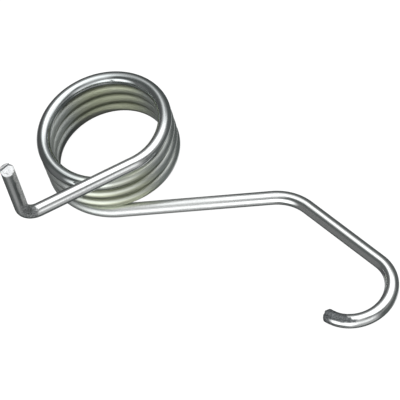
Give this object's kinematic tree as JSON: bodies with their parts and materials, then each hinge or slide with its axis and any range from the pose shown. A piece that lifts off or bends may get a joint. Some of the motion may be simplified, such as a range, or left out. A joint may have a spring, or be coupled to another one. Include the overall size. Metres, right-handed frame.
{
  "type": "torsion spring",
  "caption": "Left-hand wound torsion spring of plated round wire, with a long leg ending in an open hook and a short leg ending in an upright tip.",
  "frame": {"origin": "on the coil's axis, in the plane that the last turn and the long leg lie on", "axes": "+Z along the coil's axis, up from the long leg's turn to the short leg's; +X along the long leg, away from the coil"},
  "size_m": [0.0789, 0.0636, 0.0314],
  "materials": {
    "plated_wire": "bright zinc plate over cold-drawn round spring wire, smooth and glossy, with faint drawing lines along the wire"
  },
  "bodies": {
    "root": {"torsion_spring": "plated_wire"}
  },
  "joints": []
}
